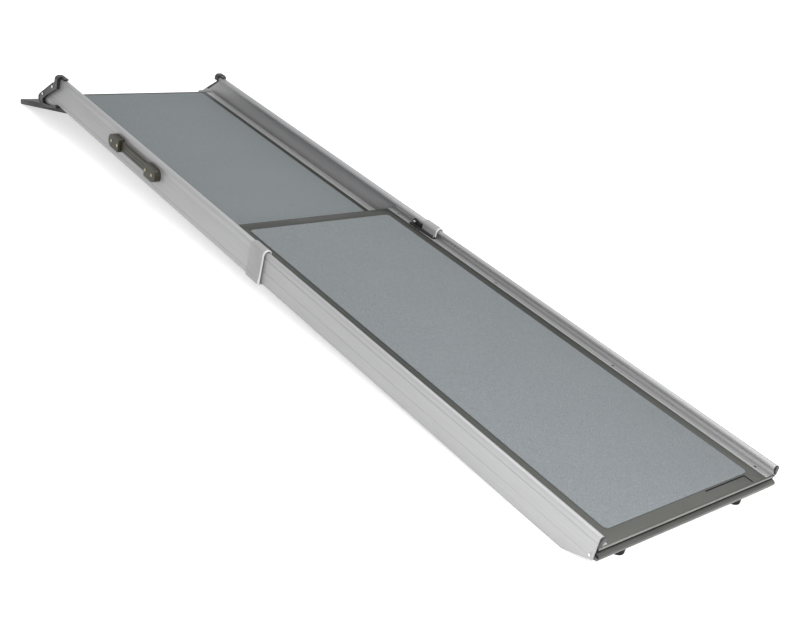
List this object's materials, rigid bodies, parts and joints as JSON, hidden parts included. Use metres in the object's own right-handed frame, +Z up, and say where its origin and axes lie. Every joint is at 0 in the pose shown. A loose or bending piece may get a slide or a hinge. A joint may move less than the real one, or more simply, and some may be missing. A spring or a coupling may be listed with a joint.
{
  "type": "telescoping dog ramp",
  "caption": "Telescoping dog ramp with aluminium side rails, grip mats, a lower section that slides into the upper one, a side latch, a carry handle and a sloped top lip.",
  "frame": {"origin": "bottom centre of the extended ramp's box, on the floor it stands on", "axes": "+Y from the low end to the top lip, +Z up, +X to the right for someone who walks up; the ramp's own direction rises 2.4 degrees from +Y, because the lip holds its top end off the floor"},
  "size_m": [0.4576, 1.9308, 0.1367],
  "materials": {
    "rail_aluminium": "satin anodised",
    "collar_grey": "satin moulded",
    "deck_plastic": "fine moulded texture",
    "grip_mat": "gritty speckled surface",
    "black_plastic": "satin moulded",
    "handle_plastic": "satin moulded",
    "rubber": "dull",
    "steel": "plain"
  },
  "bodies": {
    "upper_section": {"upper_rail_left": "rail_aluminium", "upper_rail_right": "rail_aluminium", "upper_deck": "deck_plastic", "upper_grip_mat": "grip_mat", "slide_strip_left": "black_plastic", "slide_strip_right": "black_plastic", "travel_stop_left": "black_plastic", "travel_stop_right": "black_plastic", "collar_left": "collar_grey", "collar_right": "collar_grey", "end_bracket_left": "rail_aluminium", "end_bracket_right": "rail_aluminium", "end_cap_left": "black_plastic", "end_cap_right": "black_plastic", "cap_screw_left_upper": "steel", "cap_screw_left_lower": "steel", "cap_screw_right_upper": "steel", "cap_screw_right_lower": "steel", "top_lip": "black_plastic", "lip_pad_left": "rubber", "lip_pad_right": "rubber", "handle_boss_lower": "handle_plastic", "handle_boss_upper": "handle_plastic", "handle_strap": "handle_plastic", "handle_screw_lower_1": "steel", "handle_screw_lower_2": "steel", "handle_screw_upper_1": "steel", "handle_screw_upper_2": "steel", "latch_bracket": "black_plastic", "latch_pin": "steel", "latch_spring": "steel"},
    "lower_section": {"lower_rail_left": "rail_aluminium", "lower_rail_right": "rail_aluminium", "lower_deck": "deck_plastic", "lower_grip_mat": "grip_mat", "nameplate_blank": "deck_plastic", "low_end_bumper": "deck_plastic", "bumper_screw_left": "steel", "bumper_screw_right": "steel", "rubber_foot_left": "rubber", "rubber_foot_right": "rubber", "rail_end_plug_left": "black_plastic", "rail_end_plug_right": "black_plastic", "glide_block_left": "black_plastic", "glide_block_right": "black_plastic", "deck_rivet_1": "black_plastic", "deck_rivet_2": "black_plastic", "deck_rivet_3": "black_plastic", "deck_rivet_4": "black_plastic", "deck_rivet_5": "black_plastic", "deck_rivet_6": "black_plastic", "deck_rivet_7": "black_plastic", "deck_rivet_8": "black_plastic"},
    "latch": {"latch_lever": "black_plastic"}
  },
  "joints": [
    {"name": "telescope", "type": "slide", "parent": "upper_section", "child": "lower_section", "axis": [0, 0.9991, 0.0419], "range_m": [0, 0.82]},
    {"name": "latch_lever_pivot", "type": "hinge", "parent": "upper_section", "child": "latch", "pos_m": [0.20165, -0.05922, 0.08516], "axis": [-1, 0, 0], "range_deg": [-4, 15], "stiffness_Nm_per_rad": 0.05}
  ]
}
